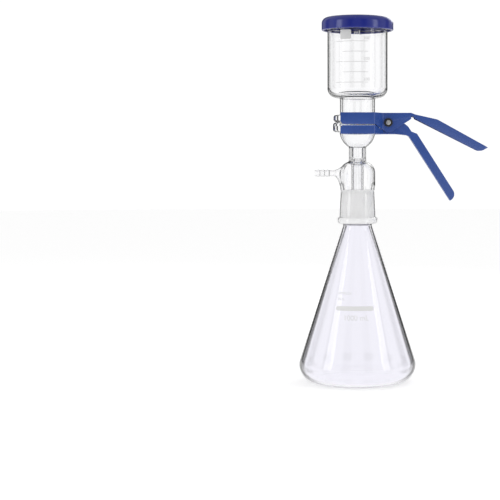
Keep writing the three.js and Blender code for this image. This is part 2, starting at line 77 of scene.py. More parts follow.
SOCKET_BOTTOM, SOCKET_TOP, FACE_Z = 193.2, 231.4, 316.0
SOCKET_FOOT_RADIUS, SOCKET_TOP_RADIUS = 21.9, 20.4
BEAD_RADIUS, BEAD_TOP, BEAD_SLOPE = 24.4, 200.2, 1.0
BELL_RADIUS, BELL_TOP, BELL_TURN = 21.6, 269.0, 14.0
BELL_WIDEN, BELL_INNER_WIDEN = 8.0, 10.0  # height over which the bell widens
BELL_FALL, BELL_INNER_FALL = 5.4, 6.7  # of the bell's top from the stem to its side
STEM_RADIUS, STEM_BORE, SEAL_Z = 10.5, 7.2, 272.0
SEAL_RISE, SEAL_DROP = 2.0, 1.0  # the stem's bore narrows from above SEAL_Z to below it
DRIP_RADIUS, DRIP_BORE, DRIP_TOP, DRIP_TIP = 7.4, 6.0, 267.6, 205.0
DRIP_LIP, DRIP_BEVEL = 0.6, 2.5  # width of its tip and height of the bevel above
BULB_RADIUS, BULB_Z = 21.6, 304.8
BULB_START, BULB_STOP = 0.1, -0.05  # angles kept free at the stem and at the flange
BASE_FLANGE, BASE_FLANGE_BOTTOM = 29.8, 305.0
SEAT_RADIUS, SEAT_DEPTH = 21.35, 4.3

ARM_TIP_X, ARM_Z, ARM_RADIUS, ARM_BORE = -52.3, 254.5, 3.7, 2.4
ARM_TIP_BEVEL, ARM_STEP = 0.3, 1.5
ARM_BARB, BARB_PITCH, BARBS = 4.3, 5.6, 3
CREST_HALF, CREST_LEAD, CREST_FALL, BARB_END = 0.35, 0.05, 0.2, 0.9  # rounding of each barb
ROOT_X, ROOT_LEAD = -29.0, 4.0  # where the arm starts to widen, and how straight it leaves
ROOT_UP, ROOT_DOWN, ROOT_ACROSS = 12.5, 20.0, 10.5  # reach of its root on the bell
ROOT_AIM = 0.6  # share of that reach at which the root's curve meets the bell's direction
ARM_DEPTH, BORE_DEPTH = 0.9, 3.0  # the arm ends inside the bell's wall, its bore past it
BORE_PAST, BORE_LATER = 5.0, 0.5  # the bore starts before the tip and widens after the outside

FRIT_RADIUS, FRIT_THICK = 21.2, 4.0
MEMBRANE_RADIUS, MEMBRANE_BOTTOM, MEMBRANE_THICK = 23.5, 316.2, 0.2

FUNNEL_FACE, RIM_TOP = 316.6, 436.0
FUNNEL_FLANGE, FUNNEL_FLANGE_TOP = 29.2, 325.6
NECK_RADIUS, FUNNEL_NECK_TOP = 21.4, 347.0
CUP_RADIUS, CUP_TURN, RIM_RADIUS, RIM_HEIGHT = 36.5, 11.5, 39.4, 5.0
FUNNEL_BORE, FLANGE_SLOPE, UNDERSIDE_SLOPE = 19.4, 0.8, 1.4
FLOOR_AT_NECK, FLOOR_AT_SIDE = 1.8, 3.0  # the cup's floor above its underside
RIM_LEAD, LIP_STEP = 3.0, 0.4  # height over which the rim widens, and how far its mouth does

LID_RADIUS, LID_BOTTOM, LID_TOP = 43.5, 427.2, 443.0
LID_WALL, LID_EDGE, LID_CEILING, LID_SEAT = 2.8, 7.0, 440.2, 33.4
LID_GAP, LID_MOUTH, LID_LEAD = 0.1, 0.6, 1.0  # above the rim, and the bevel of the lid's mouth

SHEET = 1.5
CLAMP_FRONT, CLAMP_TOP, CLAMP_BOTTOM = -20.4, 327.5, 302.0
FORK_HALF, FORK_SLOT = 32.5, 22.6
PIVOT = Vector((37.2, 315.8))  # X and Z of the rivet's axis


# ---------- outlines ----------


def rounded(corners, step=ARC_STEP):
    """Points of an outline from corners (x, y, radius). A corner with a radius becomes an arc."""
    points = []
    for i, corner in enumerate(corners):
        here = Vector(corner[:2])
        radius = corner[2] if len(corner) > 2 else 0
        if not radius:
            points.append(here)
            continue
        before = (Vector(corners[i - 1][:2]) - here).normalized()
        after = (Vector(corners[(i + 1) % len(corners)][:2]) - here).normalized()
        half = math.acos(max(-1.0, min(1.0, before.dot(after)))) / 2
        centre = here + (before + after).normalized() * radius / math.sin(half)
        start = here + before * radius / math.tan(half) - centre
        end = here + after * radius / math.tan(half) - centre
        first = math.atan2(start.y, start.x)
        sweep = (math.atan2(end.y, end.x) - first + math.pi) % math.tau - math.pi
        steps = max(2, math.ceil(abs(sweep) / step))
        for k in range(steps + 1):
            angle = first + sweep * k / steps
            points.append(centre + Vector((math.cos(angle), math.sin(angle))) * radius)
    return points


def split_long(points, closed, longest=LONG_RUN):
    """The same outline with long straight runs cut into steps, so that shading stays exact."""
    result = []
    pairs = list(zip(points, points[1:]))
    if closed:
        pairs.append((points[-1], points[0]))
    for a, b in pairs:
        count = max(1, math.ceil((b - a).length / longest))
        result += [a.lerp(b, k / count) for k in range(count)]
    if not closed:
        result.append(points[-1])
    return result


# ---------- meshes ----------


def add_object(name, data):
    obj = bpy.data.objects.new(name, data)
    bpy.context.scene.collection.objects.link(obj)
    return obj


def make_object(name, vertices, faces):
    """A mesh object from points in millimetres."""
    mesh = bpy.data.meshes.new(name)
    mesh.from_pydata([Vector(v) * MM for v in vertices], [], faces)
    mesh.validate()
    return add_object(name, mesh)


def band(low, high):
    """Faces between two rings of point numbers."""
    after = {k: (k + 1) % len(low) for k in range(len(low))}
    return [[low[k], low[n], high[n], high[k]] for k, n in after.items()]


def turned(name, outline, sides=ROUND_SIDES):
    """A closed piece turned about Z from (radius, z) points given anticlockwise."""
    on_axis = abs(outline[0].x) < 1e-9
    points = split_long(outline, not on_axis)
    vertices, rings = [], []
    for radius, z in points:
        if radius < 1e-9:
            rings.append([len(vertices)] * sides)
            vertices.append((0, 0, z))
            continue
        rings.append(list(range(len(vertices), len(vertices) + sides)))
        for k in range(sides):
            angle = math.tau * k / sides
            vertices.append((radius * math.cos(angle), radius * math.sin(angle), z))
    pairs = list(zip(rings, rings[1:]))
    if not on_axis:
        pairs.append((rings[-1], rings[0]))
    faces = []
    for low, high in pairs:
        for corners in band(low, high):
            face = [v for i, v in enumerate(corners) if v != corners[i - 1]]
            if len(face) > 2:
                faces.append(face)
    return make_object(name, vertices, faces)


def prism(name, outline, low, high, place):
    """A flat outline pushed from low to high; place(x, y, h) puts a point in space."""
    count = len(outline)
    vertices = [place(p.x, p.y, h) for h in (low, high) for p in outline]
    faces = [list(range(count))[::-1], list(range(count, 2 * count))]
    faces += [[k, (k + 1) % count, count + (k + 1) % count, count + k] for k in range(count)]
    obj = make_object(name, vertices, faces)
    recalculate(obj)
    return obj


def edit(obj, change):
    """Runs change(bm) on the object's mesh."""
    bm = bmesh.new()
    bm.from_mesh(obj.data)
    change(bm)
    bm.to_mesh(obj.data)
    bm.free()
    obj.data.update()


def recalculate(obj):
    edit(obj, lambda bm: bmesh.ops.recalc_face_normals(bm, faces=bm.faces))


def evaluated_mesh(obj):
    bpy.context.view_layer.update()
    graph = bpy.context.evaluated_depsgraph_get()
    return bpy.data.meshes.new_from_object(obj.evaluated_get(graph))


def apply_modifiers(obj):
    mesh = evaluated_mesh(obj)
    obj.modifiers.clear()
    obj.data = mesh


def combine(target, other, operation):
    """Joins or cuts target with other, which is used up."""
    modifier = target.modifiers.new("combine", "BOOLEAN")
    modifier.operation = operation
    modifier.solver = "EXACT"
    modifier.object = other
    apply_modifiers(target)
    bpy.data.objects.remove(other)


def smooth(obj, sharp_degrees=None):
    obj.data.shade_smooth()
    if sharp_degrees:
        obj.data.set_sharp_from_angle(angle=math.radians(sharp_degrees))


def tidy(obj, distance=0.004):
    """Merges stray points that a cut leaves."""

    def change(bm):
        bmesh.ops.remove_doubles(bm, verts=bm.verts, dist=distance * MM)
        bmesh.ops.dissolve_degenerate(bm, edges=bm.edges, dist=distance * MM)

    edit(obj, change)


def finish_piece(obj, body, replaced, materials):
    for material in materials:
        obj.data.materials.append(material)
    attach(obj, body)
    if replaced:
        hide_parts(*replaced)
    return obj


# ---------- materials ----------

# Painted shade on glass: its colour darkens where the sight line grazes it, for the dark outline
# of clear glass. Pairs of how far it grazes, from 0 to 1, and how light the glass is there. The
# first pair gives where the painted shade starts.
CUP_EDGE_SHADE = ((0.66, 1.0), (0.9, 0.3))
BASE_EDGE_SHADE = ((0.58, 1.0), (0.72, 0.2), (0.95, 0.3))
FLASK_EDGE_SHADE = ((0.55, 1.0), (0.61, 0.1), (0.73, 0.04), (0.86, 0.6))
FINE_EDGE_SHADE = ((0.3, 1.0), (0.8, 0.15))  # on the thin side arm

PALE_RUN = 40.0  # length over which the clamp's handles turn paler
GAP_HIGHLIGHT_DROP, GAP_HIGHLIGHT_SOFT = 0.3, 0.15  # painted highlight at the forks' gap: how far below the lower fork's top it is full, and how softly it fades in


class Shader:
    """A node material with its Principled shader, and short ways to add nodes."""

    def __init__(self, name):
        self.material = bpy.data.materials.new(name)
        self.material.use_nodes = True
        self.tree = self.material.node_tree
        self.surface = self.tree.nodes["Principled BSDF"]

    def add(self, kind, **settings):
        node = self.tree.nodes.new(kind)
        for key, value in settings.items():
            if hasattr(node, key):
                setattr(node, key, value)
            else:
                node.inputs[key.replace("_", " ")].default_value = value
        return node

    def link(self, output, target):
        self.tree.links.new(output, target)

    def drive(self, socket, output):
        """Links an output to a socket of the Principled shader."""
        self.link(output, self.surface.inputs[socket])

    def set(self, **values):
        for key, value in values.items():
            self.surface.inputs[key.replace("_", " ")].default_value = value

    def place(self):
        return self.add("ShaderNodeTexCoord").outputs["Object"]

    def noise(self, scale, detail=3.0, roughness=0.5):
        node = self.add("ShaderNodeTexNoise", Scale=scale, Detail=detail, Roughness=roughness)
        self.link(self.place(), node.inputs["Vector"])
        return node.outputs["Fac"]

    def ramp(self, value, *stops):
        """A colour ramp with stops (position, colour)."""
        node = self.add("ShaderNodeValToRGB")
        elements = node.color_ramp.elements
        while len(elements) < len(stops):
            elements.new(0.5)
        for element, (position, colour) in zip(elements, stops):
            element.position = position
            element.color = (*colour, 1)
        self.link(value, node.inputs["Fac"])
        return node.outputs["Color"]

    def mottle(self, scale, detail, first, second):
        """A colour that wanders between two with noise."""
        return self.ramp(self.noise(scale, detail), (0.3, first), (0.7, second))

    def rise(self, axis, start, end):
        """0 to 1 along an axis of the object between two places in millimetres."""
        split = self.add("ShaderNodeSeparateXYZ")
        self.link(self.place(), split.inputs[0])
        node = self.add("ShaderNodeMapRange", From_Min=start * MM, From_Max=end * MM)
        self.link(split.outputs[axis], node.inputs["Value"])
        return node.outputs["Result"]

    def calc(self, operation, first, second):
        """The result of a sum on two outputs, kept between 0 and 1."""
        node = self.add("ShaderNodeMath", operation=operation, use_clamp=True)
        self.link(first, node.inputs[0])
        self.link(second, node.inputs[1])
        return node.outputs["Value"]

    def mix(self, factor, first, second):
        """A colour between two, each of them an output or a constant colour."""
        node = self.add("ShaderNodeMix", data_type="RGBA")
        self.link(factor, node.inputs["Factor"])
        colours = [socket for socket in node.inputs if socket.type == "RGBA"]
        for socket, value in zip(colours, (first, second)):
            if hasattr(value, "is_linked"):
                self.link(value, socket)
            else:
                socket.default_value = (*value, 1)
        return next(socket for socket in node.outputs if socket.type == "RGBA")

    def bump(self, height, strength, distance):
        node = self.add("ShaderNodeBump", Strength=strength, Distance=distance)
        self.link(height, node.inputs["Height"])
        self.link(node.outputs["Normal"], self.surface.inputs["Normal"])


def grey(level):
    return (level, level, level)


def clear_glass(name, tint, edge=None, fade_from=0.0, fade_to=0.0):
    """Blown glass, faintly wavy. With `edge`, painted shade darkens it where the sight line grazes
    it.

    The painted shade fades in between two heights in millimetres.
    """
    shader = Shader(name)
    shader.set(Roughness=0.0, IOR=1.47, Transmission_Weight=1.0, Base_Color=(*tint, 1))
    shader.bump(shader.noise(22.0, 1.0), 0.05, 0.0006)
    if edge is None:
        return shader.material
    # painted shade: the colour darkens as the surface turns edge-on to the sight line
    facing = shader.add("ShaderNodeLayerWeight", Blend=0.5).outputs["Facing"]
    stops = [(position, [channel * level for channel in tint]) for position, level in edge]
    colour = shader.ramp(facing, (0.0, tint), *stops)
    if fade_to > fade_from:
        colour = shader.mix(shader.rise("Z", fade_from, fade_to), tint, colour)
    shader.drive("Base Color", colour)
    return shader.material


def ground_glass(name):
    """Fine-ground glass: white and matt, letting a little light through, with turning marks."""
    shader = Shader(name)
    shader.set(Roughness=0.6, IOR=1.47, Transmission_Weight=0.04)
    colour = shader.mottle(900.0, 4.0, grey(0.95), grey(0.99))
    shader.drive("Base Color", colour)
    shader.bump(shader.noise(3500.0, 2.0), 0.25, 0.0001)
    return shader.material


def enamel(name, level):
    """Fired white enamel print, slightly uneven."""
    shader = Shader(name)
    shader.set(Roughness=0.45, IOR=1.5)
    colour = shader.ramp(
        shader.noise(1500.0, 2.0), (0.35, grey(level * 0.93)), (0.65, grey(level))
    )
    shader.drive("Base Color", colour)
    return shader.material


def sintered_glass():
    """Glass grains sintered into a porous white disc."""
    shader = Shader("sintered_glass_look")
    shader.set(Roughness=0.85, IOR=1.45, Subsurface_Weight=0.15)
    grains = shader.add("ShaderNodeTexVoronoi", Scale=2600.0)
    shader.link(shader.place(), grains.inputs["Vector"])
    colour = shader.ramp(grains.outputs["Distance"], (0.0, grey(0.9)), (0.8, grey(0.72)))
    shader.drive("Base Color", colour)
    shader.bump(grains.outputs["Distance"], 0.6, 0.00012)
    return shader.material


def filter_membrane():
    shader = Shader("membrane_look")
    shader.set(Roughness=0.8, Sheen_Weight=0.1)
    colour = shader.mottle(1800.0, 5.0, grey(0.86), grey(0.93))
    shader.drive("Base Color", colour)
    shader.bump(shader.noise(4000.0, 3.0), 0.2, 0.00005)
    return shader.material


def lid_plastic():
    """Moulded glossy plastic: deep blue, faint flow variation and a fine moulded texture."""
    shader = Shader("lid_plastic_look")
    shader.set(IOR=1.49, Coat_Weight=0.25, Coat_Roughness=0.1)
    shader.surface.inputs["Specular Tint"].default_value = (0.75, 0.8, 1.0, 1)
    colour = shader.mottle(30.0, 2.0, (0.008, 0.014, 0.175), (0.012, 0.020, 0.210))
    shader.drive("Base Color", colour)
    gloss = shader.mottle(160.0, 3.0, grey(0.2), grey(0.28))
    shader.drive("Roughness", gloss)
    shader.bump(shader.noise(900.0, 2.0), 0.12, 0.00008)
    return shader.material


def blue_coating():
    """Satin blue coating on sheet metal: paler on the handles, rubbed at edges, painted highlight
    at the gap.
    """
    shader = Shader("blue_coating_look")
    shader.set(IOR=1.5, Coat_Weight=0.1, Coat_Roughness=0.2)
    cloudy = shader.mottle(45.0, 3.0, (0.013, 0.054, 0.255), (0.019, 0.066, 0.295))
    # the colour turns paler along X toward the handles' ends
    toward_handles = shader.mix(shader.rise("X", EAR_X, EAR_X + PALE_RUN), cloudy, (0.035, 0.078, 0.285))
    bevel = shader.add("ShaderNodeBevel", samples=6, Radius=0.0006)
    geometry = shader.add("ShaderNodeNewGeometry")
    edge = shader.add("ShaderNodeVectorMath", operation="DOT_PRODUCT")
    shader.link(bevel.outputs["Normal"], edge.inputs[0])
    shader.link(geometry.outputs["Normal"], edge.inputs[1])
    rubbed = shader.ramp(edge.outputs["Value"], (0.93, grey(1.0)), (0.99, grey(0.0)))
    spots = shader.ramp(shader.noise(300.0, 4.0), (0.45, grey(0.0)), (0.62, grey(0.55)))
    worn = shader.calc("MULTIPLY", rubbed, spots)
    colour = shader.mix(worn, toward_handles, (0.16, 0.22, 0.50))
    # painted highlight: a pale grey line where the two forks face each other, along the gap
    # between them
    below = shader.rise("Z", LOWER_WALL - GAP_HIGHLIGHT_DROP - GAP_HIGHLIGHT_SOFT, LOWER_WALL - GAP_HIGHLIGHT_DROP)
    above = shader.rise("Z", UPPER_WALL, UPPER_WALL + GAP_HIGHLIGHT_SOFT)
    beyond = shader.rise("X", SLANT_X - 2, SLANT_X)
    gap_highlight = shader.calc("SUBTRACT", shader.calc("SUBTRACT", below, above), beyond)
    colour = shader.mix(gap_highlight, colour, (0.72, 0.76, 0.84))
    shader.drive("Base Color", colour)
    gloss = shader.mottle(220.0, 3.0, grey(0.34), grey(0.46))
    shader.drive("Roughness", gloss)
    shader.bump(shader.noise(1100.0, 2.0), 0.2, 0.00008)
    return shader.material


def steel(name, level, roughness):
    """Plain steel with fine scratches along and across."""
    shader = Shader(name)
    shader.set(Metallic=1.0)
    colour = shader.mottle(400.0, 4.0, grey(level * 0.85), grey(level))
    shader.drive("Base Color", colour)
    gloss = shader.mottle(700.0, 3.0, grey(roughness), grey(roughness + 0.15))
    shader.drive("Roughness", gloss)
    shader.bump(shader.noise(2500.0, 3.0), 0.15, 0.00005)
    return shader.material


def black_plastic():
    shader = Shader("black_plastic_look")
    shader.set(Roughness=0.42)
    colour = shader.mottle(800.0, 3.0, grey(0.008), grey(0.016))
    shader.drive("Base Color", colour)
    return shader.material


# ---------- glass pieces ----------


def cone_radius(z):
    return CONE_RADIUS - CONE_TAPER * (z - SHOULDER_Z)


def side_radius(z):
    """Outer radius of the flask's conical side."""
    return WAIST.x + (WAIST.y - z) * math.tan(SIDE_ANGLE)


def bulb_arc(radius, first, last, steps=24):
    arc = []
    for k in range(steps + 1):
        angle = first + (last - first) * k / steps
        arc.append((radius * math.cos(angle), BULB_Z + radius * math.sin(angle)))
    return arc


def paint_faces(obj, index, chosen):
    """Gives material slot index to each face for which chosen(radius, z, outward) is true."""
    for face in obj.data.polygons:
        centre = face.center / MM
        radius = math.hypot(centre.x, centre.y)
        outward = face.normal.x * centre.x + face.normal.y * centre.y > 0
        if chosen(radius, centre.z, outward):
            face.material_index = index


def build_flask(glass, ground, inner):
    wall_across = FLASK_WALL / math.cos(SIDE_ANGLE)
    outline = rounded(
        [
            (0, 0),
            (side_radius(0), 0, HEEL),
            (*WAIST, 4),
            (CONE_RADIUS, SHOULDER_Z, 1.5),
            (cone_radius(NECK_TOP), NECK_TOP, 0.9),
            (NECK_BORE, NECK_TOP, 0.9),
            (NECK_BORE, SHOULDER_Z + INNER_DROP, 3),
            (WAIST.x - FLASK_WALL, WAIST.y - INNER_DROP, 4),
            (side_radius(FLASK_FLOOR) - wall_across, FLASK_FLOOR, HEEL - FLASK_WALL),
            (0, FLASK_FLOOR),
        ]
    )
    obj = turned("flask_glass_body", outline)
    smooth(obj)
    finish_piece(obj, "flask", ["flask"], [glass, ground, inner])
    paint_faces(obj, 2, lambda r, z, outward: not outward)
    paint_faces(obj, 1, lambda r, z, outward: SHOULDER_Z + 1 < z < NECK_TOP - 2)
    return obj


def bell_outline():
    """Corners of the base's outside from the socket's rim up to the stem."""
    return [
        (BEAD_RADIUS, SOCKET_BOTTOM, 3),
        (BEAD_RADIUS, BEAD_TOP, 3),
        (SOCKET_FOOT_RADIUS, BEAD_TOP + BEAD_SLOPE, 0.8),
        (SOCKET_TOP_RADIUS, SOCKET_TOP, 3),
        (BELL_RADIUS, SOCKET_TOP + BELL_WIDEN, 6),
        (BELL_RADIUS, BELL_TOP - BELL_FALL, BELL_TURN),
        (STEM_RADIUS, BELL_TOP, 2),
    ]


def radius_at(points, z):
    """Radius of an outline of (radius, z) points at a height."""
    for a, b in zip(points, points[1:]):
        if a.y <= z <= b.y and b.y > a.y:
            return a.x + (b.x - a.x) * (z - a.y) / (b.y - a.y)
    return points[-1].x


def arm_profile():
    """Outside of the barbed tube from its tip to its root, as (x, radius)."""
    profile = [Vector((ARM_TIP_X, ARM_RADIUS - ARM_TIP_BEVEL))]
    for k in range(BARBS):
        crest = ARM_TIP_X + (k + 1) * BARB_PITCH
        profile.append(Vector((crest - CREST_HALF, ARM_BARB - CREST_LEAD)))
        profile.append(Vector((crest, ARM_BARB)))
        profile.append(Vector((crest + CREST_HALF, ARM_BARB - CREST_FALL)))
        profile.append(Vector((crest + BARB_END, ARM_RADIUS)))
    profile.append(Vector((ROOT_X, ARM_RADIUS)))
    return profile


def build_side_arm(name, profile, bell, wall):
    """A tube along -X as a closed solid whose root flares out until it lies in the bell's surface.

    `wall` moves the root inward, which makes the same shape serve for the arm's bore.
    """
    around, along = 72, 24
    profile = split_long(profile, False, ARM_STEP)
    tip, root = profile[0], profile[-1]
    vertices = [(tip.x, 0, ARM_Z)]
    rings = []

    def ring(points):
        rings.append(list(range(len(vertices), len(vertices) + around)))
        vertices.extend(points)

    angles = [math.tau * k / around for k in range(around)]
    for x, radius in profile[:-1]:
        ring([(x, radius * math.cos(a), ARM_Z + radius * math.sin(a)) for a in angles])

    def on_bell(angle, share, depth):
        """A point on the bell, a share of the way from the arm's axis to the root's edge."""
        lift = (ROOT_UP if math.sin(angle) > 0 else ROOT_DOWN) - wall
        y = share * (ROOT_ACROSS - wall) * math.cos(angle)
        z = ARM_Z + share * lift * math.sin(angle)
        reach = radius_at(bell, z) - wall - depth
        return Vector((-math.sqrt(max(reach * reach - y * y, 0)), y, z))

    for step in range(along + 1):
        t = step / along
        weights = ((1 - t) ** 3, 3 * t * (1 - t) ** 2, 3 * t * t * (1 - t), t**3)
        points = []
        for a in angles:
            start = Vector((root.x, root.y * math.cos(a), ARM_Z + root.y * math.sin(a)))
            lead = start + Vector((ROOT_LEAD, 0, 0))
            controls = (start, lead, on_bell(a, ROOT_AIM, SINK), on_bell(a, 1, SINK))
            points.append(sum((c * w for c, w in zip(controls, weights)), Vector()))
        ring(points)
    deep = ARM_DEPTH if wall == 0 else BORE_DEPTH
    for share in (1.0, 0.5):
        ring([on_bell(a, share, deep) for a in angles])
    vertices.append(on_bell(0, 0, deep))

    faces = []
    for low, high in zip(rings, rings[1:]):
        faces += band(low, high)
    last = len(vertices) - 1
    for k in range(around):
        n = (k + 1) % around
        faces.append([0, rings[0][n], rings[0][k]])
        faces.append([last, rings[-1][k], rings[-1][n]])
    obj = make_object(name, vertices, faces)
    recalculate(obj)
    return obj


BASE_NODES = ["ground_socket", "bell", "side_arm", "receiver_bulb", "drip_tube"]


def build_filter_base(glass, ground, inner, fine):
    stem_top = BULB_Z - math.sqrt(BULB_RADIUS**2 - STEM_RADIUS**2)
    inner_radius = BULB_RADIUS - GLASS
    inner_bottom = BULB_Z - math.sqrt(inner_radius**2 - STEM_BORE**2)
    outer_first = math.atan2(stem_top - BULB_Z, STEM_RADIUS) + BULB_START
    inner_first = math.atan2(inner_bottom - BULB_Z, STEM_BORE)
    bell_inner = BELL_RADIUS - GLASS
    outside = [
        *bell_outline(),
        (STEM_RADIUS, stem_top, 2),
        *bulb_arc(BULB_RADIUS, outer_first, BULB_STOP),
        (BASE_FLANGE, BASE_FLANGE_BOTTOM, 2.6),
        (BASE_FLANGE, FACE_Z, 3.2),
    ]
    seat_z = FACE_Z - SEAT_DEPTH
    socket_bottom = cone_radius(SOCKET_BOTTOM) + JOINT_GAP
    socket_top = cone_radius(NECK_TOP + JOINT_LEAD) + JOINT_GAP
    inside = [
        (SEAT_RADIUS, FACE_Z, 0.3),
        (SEAT_RADIUS, seat_z),
        (inner_radius, seat_z),
        *bulb_arc(inner_radius, 0, inner_first),
        (STEM_BORE, SEAL_Z + SEAL_RISE, 2),
        (DRIP_BORE, SEAL_Z - SEAL_DROP, 2),
        (DRIP_BORE, DRIP_TIP, 0.4),
        (DRIP_BORE + DRIP_LIP, DRIP_TIP, 0.3),
        (DRIP_RADIUS, DRIP_TIP + DRIP_BEVEL, 0.6),
        (DRIP_RADIUS, DRIP_TOP, 1.2),
        (bell_inner, BELL_TOP - BELL_INNER_FALL, BELL_TURN - GLASS),
        (bell_inner, NECK_TOP + BELL_INNER_WIDEN, 6),
        (socket_top, NECK_TOP + JOINT_LEAD, 3),
        (socket_bottom, SOCKET_BOTTOM, 0.8),
    ]
    obj = turned("filter_base_glass", rounded(outside + inside))
    bell = rounded(bell_outline())
    combine(obj, build_side_arm("side_arm_body", arm_profile(), bell, 0), "UNION")
    ends = (ARM_TIP_X - BORE_PAST, ROOT_X + BORE_LATER)
    bore = [Vector((x, ARM_BORE)) for x in ends]
    combine(obj, build_side_arm("side_arm_bore", bore, bell, GLASS), "DIFFERENCE")
    tidy(obj)
    smooth(obj, 50)
    finish_piece(obj, "filter_head", BASE_NODES, [glass, ground, inner, fine])
    paint_faces(obj, 2, lambda r, z, outward: not outward)
    clear = 2 * DRIP_RADIUS

    def is_ground(r, z, outward):
        return r > clear and SOCKET_BOTTOM + 1 < z < NECK_TOP and not outward

    paint_faces(obj, 1, is_ground)

    def is_arm(r, z, outward):
        return r > -ROOT_X - ROOT_LEAD and abs(z - ARM_Z) < 2 * ARM_BARB

    paint_faces(obj, 3, is_arm)
    return obj


def build_funnel(glass, inner_glass):
    inner = CUP_RADIUS - GLASS
    rim_bottom = RIM_TOP - RIM_HEIGHT
    outline = rounded(
        [
            (FUNNEL_BORE, FUNNEL_FACE, 0.5),
            (FUNNEL_FLANGE, FUNNEL_FACE, 3.0),
            (FUNNEL_FLANGE, FUNNEL_FLANGE_TOP - FLANGE_SLOPE, 2.6),
            (NECK_RADIUS, FUNNEL_FLANGE_TOP, 1.4),
            (NECK_RADIUS, FUNNEL_NECK_TOP - UNDERSIDE_SLOPE, 2.2),
            (CUP_RADIUS, FUNNEL_NECK_TOP, CUP_TURN),
            (CUP_RADIUS, rim_bottom - RIM_LEAD, 4),
            (RIM_RADIUS, rim_bottom, 1.6),
            (RIM_RADIUS, RIM_TOP, 1.8),
            (inner + LIP_STEP, RIM_TOP, 1.6),
            (inner, rim_bottom - RIM_LEAD, 6),
            (inner, FUNNEL_NECK_TOP + FLOOR_AT_SIDE, CUP_TURN - GLASS),
            (FUNNEL_BORE, FUNNEL_NECK_TOP + FLOOR_AT_NECK, 2.4),
        ]
    )
    obj = turned("funnel_glass_body", outline)
    smooth(obj)
    finish_piece(obj, "filter_head", ["funnel"], [glass, inner_glass])
    paint_faces(obj, 1, lambda r, z, outward: not outward)
    return obj


# ---------- enamel print ----------

PRINT_LIFT = 0.05  # the print's back face above the glass
PRINT_THICK = 0.12


def wrap_print(obj, radius_of, centre_angle):
    """Bends a flat print, x across and z up, round glass whose radius radius_of gives."""
    for vertex in obj.data.vertices:
        across, depth, z = vertex.co / MM
        radius = radius_of(z) + PRINT_LIFT + PRINT_THICK * depth
        angle = centre_angle + across / radius_of(z)
        vertex.co = Vector((radius * math.cos(angle), radius * math.sin(angle), z)) * MM
    recalculate(obj)


def print_patch(name, left, right, bottom, top, radius_of, centre_angle, corner=0.0):
    """A printed rectangle, left to right in millimetres round the glass."""
    columns = max(2, math.ceil((right - left) / 1.5))
    radius = max(corner, 1e-4)
    vertices, faces = [], []
    for k in range(columns + 1):
        x = left + (right - left) * k / columns
        beyond = max(0.0, radius - min(x - left, right - x))
        inset = radius - math.sqrt(max(0.0, radius * radius - beyond * beyond))
        inset = min(inset, 0.45 * (top - bottom))
        for depth in (0, 1):
            for z in (bottom + inset, top - inset):
                vertices.append((x, depth, z))
    for k in range(columns):
        a, b = 4 * k, 4 * (k + 1)
        faces += [
            [a, b, b + 1, a + 1],
            [a + 2, a + 3, b + 3, b + 2],
            [a, a + 2, b + 2, b],
            [a + 1, b + 1, b + 3, a + 3],
        ]
    end = 4 * columns
    faces += [[0, 1, 3, 2], [end, end + 2, end + 3, end + 1]]
    obj = make_object(name, vertices, faces)
    wrap_print(obj, radius_of, centre_angle)
    return obj


def print_text(name, text, size, left, bottom, radius_of, centre_angle):
    """Printed characters that start at left and stand on bottom."""
    curve = bpy.data.curves.new(name, "FONT")
    curve.body = text
    curve.size = size * MM
    curve.resolution_u = 3
    source = add_object(name, curve)
    flat = evaluated_mesh(source)
    bpy.data.objects.remove(source)
    obj = add_object(name, flat)

    def thicken(bm):
        bmesh.ops.remove_doubles(bm, verts=bm.verts, dist=1e-7)
        for vertex in bm.verts:
            x, z = vertex.co.x, vertex.co.y
            vertex.co = Vector((x + left * MM, 0, z + bottom * MM))
        grown = bmesh.ops.extrude_face_region(bm, geom=bm.faces[:])
        for item in grown["geom"]:
            if isinstance(item, bmesh.types.BMVert):
                item.co.y = MM

    edit(obj, thicken)
    wrap_print(obj, radius_of, centre_angle)
    return obj


def join(objects, name):
    """Joins mesh objects into the first one."""
    bm = bmesh.new()
    for obj in objects:
        bm.from_mesh(obj.data)
    bm.to_mesh(objects[0].data)
    bm.free()
    for obj in objects[1:]:
        bpy.data.objects.remove(obj)
    objects[0].name = name
    return objects[0]


FRONT = -math.pi / 2  # the glass's front faces -Y
VOLUME_STEP = 12.2  # height of 50 mL in the cup
FIRST_MARK_Z = 363.2  # the 100 mL mark
MARKS, MARK_HALF = 5, 0.3
LONG_MARK, SHORT_MARK, MARK_END = -28.0, -18.0, 12.7  # ends across the glass from its front
BAND = (-26.5, 19.5, 91.3, 96.6)  # left, right, bottom and top of the flask's band
WORDS_LEFT, WORDS_SIZE = -24.5, 4.6


def build_cup_scale(white):
    def radius_of(_z):
        return CUP_RADIUS

    parts = []
    for k in range(MARKS):
        z = FIRST_MARK_Z + VOLUME_STEP * k
        whole = k % 2 == 0
        left = LONG_MARK if whole else SHORT_MARK
        low, high = z - MARK_HALF, z + MARK_HALF
        parts.append(print_patch(f"mark_{k}", left, MARK_END, low, high, radius_of, FRONT))
        if whole:
            volume = 100 + 50 * k
            parts.append(
                print_text(f"volume_{k}", str(volume), 5.2, 7.0, z + 1.8, radius_of, FRONT)
            )
    top = FIRST_MARK_Z + (MARKS - 1) * VOLUME_STEP
    parts.append(
        print_patch("patch", -21.5, -7.6, top + 2.4, top + 13.6, radius_of, FRONT, 1.0)
    )
    parts.append(print_text("unit", "mL", 7.5, -4.5, top + 7.2, radius_of, FRONT))
    obj = join(parts, "cup_scale")
    return finish_piece(obj, "filter_head", [], [white])


